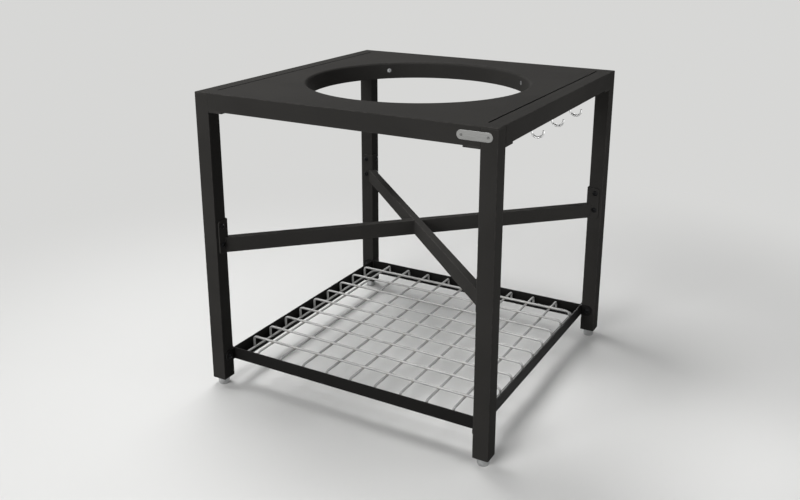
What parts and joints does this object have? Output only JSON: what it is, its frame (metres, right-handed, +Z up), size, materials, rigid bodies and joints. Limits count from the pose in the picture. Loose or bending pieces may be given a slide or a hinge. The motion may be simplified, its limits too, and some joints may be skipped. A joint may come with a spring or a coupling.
{
  "type": "grill frame module",
  "caption": "Square black steel stand with a collared round opening in its flat top for a ceramic grill, an X brace, a low shelf with lift-out wire grid and levelling feet.",
  "frame": {"origin": "on the floor, below the centre of the round opening", "axes": "+X to the right, +Y to the back, +Z up; the front with the badge plate faces -Y"},
  "size_m": [0.76, 0.762, 0.753],
  "materials": {
    "powder_coat": "matte fine-textured black powder coat",
    "wire_steel": "satin stainless wire",
    "foot_zinc": "turned zinc plate",
    "hook_chrome": "bright plated wire",
    "badge_metal": "brushed plate, bare",
    "bolt_black": "black oxide, slightly glossy",
    "plated_steel": "zinc plate"
  },
  "bodies": {
    "frame": {"badge_plate": "badge_metal", "badge_rivets": "badge_metal", "brace_bar_front_left": "powder_coat", "brace_bar_long": "powder_coat", "brace_bar_rear_right": "powder_coat", "brace_bolts": "bolt_black", "brace_bracket_front_left": "powder_coat", "brace_bracket_front_right": "powder_coat", "brace_bracket_rear_left": "powder_coat", "brace_bracket_rear_right": "powder_coat", "brace_inserts": "plated_steel", "collar_nuts": "plated_steel", "collar_screws": "plated_steel", "collar_stay_front_left": "powder_coat", "collar_stay_front_right": "powder_coat", "collar_stay_rear_left": "powder_coat", "collar_stay_rear_right": "powder_coat", "corner_gusset_front_left": "powder_coat", "corner_gusset_front_right": "powder_coat", "corner_gusset_rear_left": "powder_coat", "corner_gusset_rear_right": "powder_coat", "hook_inserts": "plated_steel", "hook_lock_nuts": "plated_steel", "opening_collar": "powder_coat", "post_front_left": "powder_coat", "post_front_right": "powder_coat", "post_plug_front_left": "powder_coat", "post_plug_front_right": "powder_coat", "post_plug_rear_left": "powder_coat", "post_plug_rear_right": "powder_coat", "post_rear_left": "powder_coat", "post_rear_right": "powder_coat", "shelf_bolts": "bolt_black", "shelf_ear_front_left": "powder_coat", "shelf_ear_front_right": "powder_coat", "shelf_ear_rear_left": "powder_coat", "shelf_ear_rear_right": "powder_coat", "shelf_inserts": "plated_steel", "shelf_rail_front": "powder_coat", "shelf_rail_left": "powder_coat", "shelf_rail_rear": "powder_coat", "shelf_rail_right": "powder_coat", "side_rail_left": "powder_coat", "side_rail_right": "powder_coat", "tool_hook_front": "hook_chrome", "tool_hook_middle": "hook_chrome", "tool_hook_rear": "hook_chrome", "top_plate": "powder_coat"},
    "grid": {"grid_wires_across": "wire_steel", "grid_wires_along": "wire_steel", "grid_border": "wire_steel"},
    "pad_front_left": {"foot_pad_front_left": "foot_zinc"},
    "stud_front_left": {"foot_stud_front_left": "plated_steel"},
    "pad_front_right": {"foot_pad_front_right": "foot_zinc"},
    "stud_front_right": {"foot_stud_front_right": "plated_steel"},
    "pad_rear_left": {"foot_pad_rear_left": "foot_zinc"},
    "stud_rear_left": {"foot_stud_rear_left": "plated_steel"},
    "pad_rear_right": {"foot_pad_rear_right": "foot_zinc"},
    "stud_rear_right": {"foot_stud_rear_right": "plated_steel"}
  },
  "joints": [
    {"name": "foot_extend_front_left", "type": "slide", "parent": "frame", "child": "pad_front_left", "axis": [0, 0, -1], "range_m": [0, 0.015]},
    {"name": "foot_turn_front_left", "type": "hinge", "parent": "pad_front_left", "child": "stud_front_left", "pos_m": [-0.361, -0.361, 0.02], "axis": [0, 0, -1], "range_deg": [0, 3600]},
    {"name": "foot_extend_front_right", "type": "slide", "parent": "frame", "child": "pad_front_right", "axis": [0, 0, -1], "range_m": [0, 0.015]},
    {"name": "foot_turn_front_right", "type": "hinge", "parent": "pad_front_right", "child": "stud_front_right", "pos_m": [0.361, -0.361, 0.02], "axis": [0, 0, -1], "range_deg": [0, 3600]},
    {"name": "foot_extend_rear_left", "type": "slide", "parent": "frame", "child": "pad_rear_left", "axis": [0, 0, -1], "range_m": [0, 0.015]},
    {"name": "foot_turn_rear_left", "type": "hinge", "parent": "pad_rear_left", "child": "stud_rear_left", "pos_m": [-0.361, 0.361, 0.02], "axis": [0, 0, -1], "range_deg": [0, 3600]},
    {"name": "foot_extend_rear_right", "type": "slide", "parent": "frame", "child": "pad_rear_right", "axis": [0, 0, -1], "range_m": [0, 0.015]},
    {"name": "foot_turn_rear_right", "type": "hinge", "parent": "pad_rear_right", "child": "stud_rear_right", "pos_m": [0.361, 0.361, 0.02], "axis": [0, 0, -1], "range_deg": [0, 3600]},
    {"name": "grid_lift", "type": "slide", "parent": "frame", "child": "grid", "axis": [0, 0, 1], "range_m": [0, 0.2]}
  ],
  "couplings": [
    {"joint": "foot_turn_front_left", "follows": "foot_extend_front_left", "rad_per_m": 4188.8},
    {"joint": "foot_turn_front_right", "follows": "foot_extend_front_right", "rad_per_m": 4188.8},
    {"joint": "foot_turn_rear_left", "follows": "foot_extend_rear_left", "rad_per_m": 4188.8},
    {"joint": "foot_turn_rear_right", "follows": "foot_extend_rear_right", "rad_per_m": 4188.8}
  ]
}
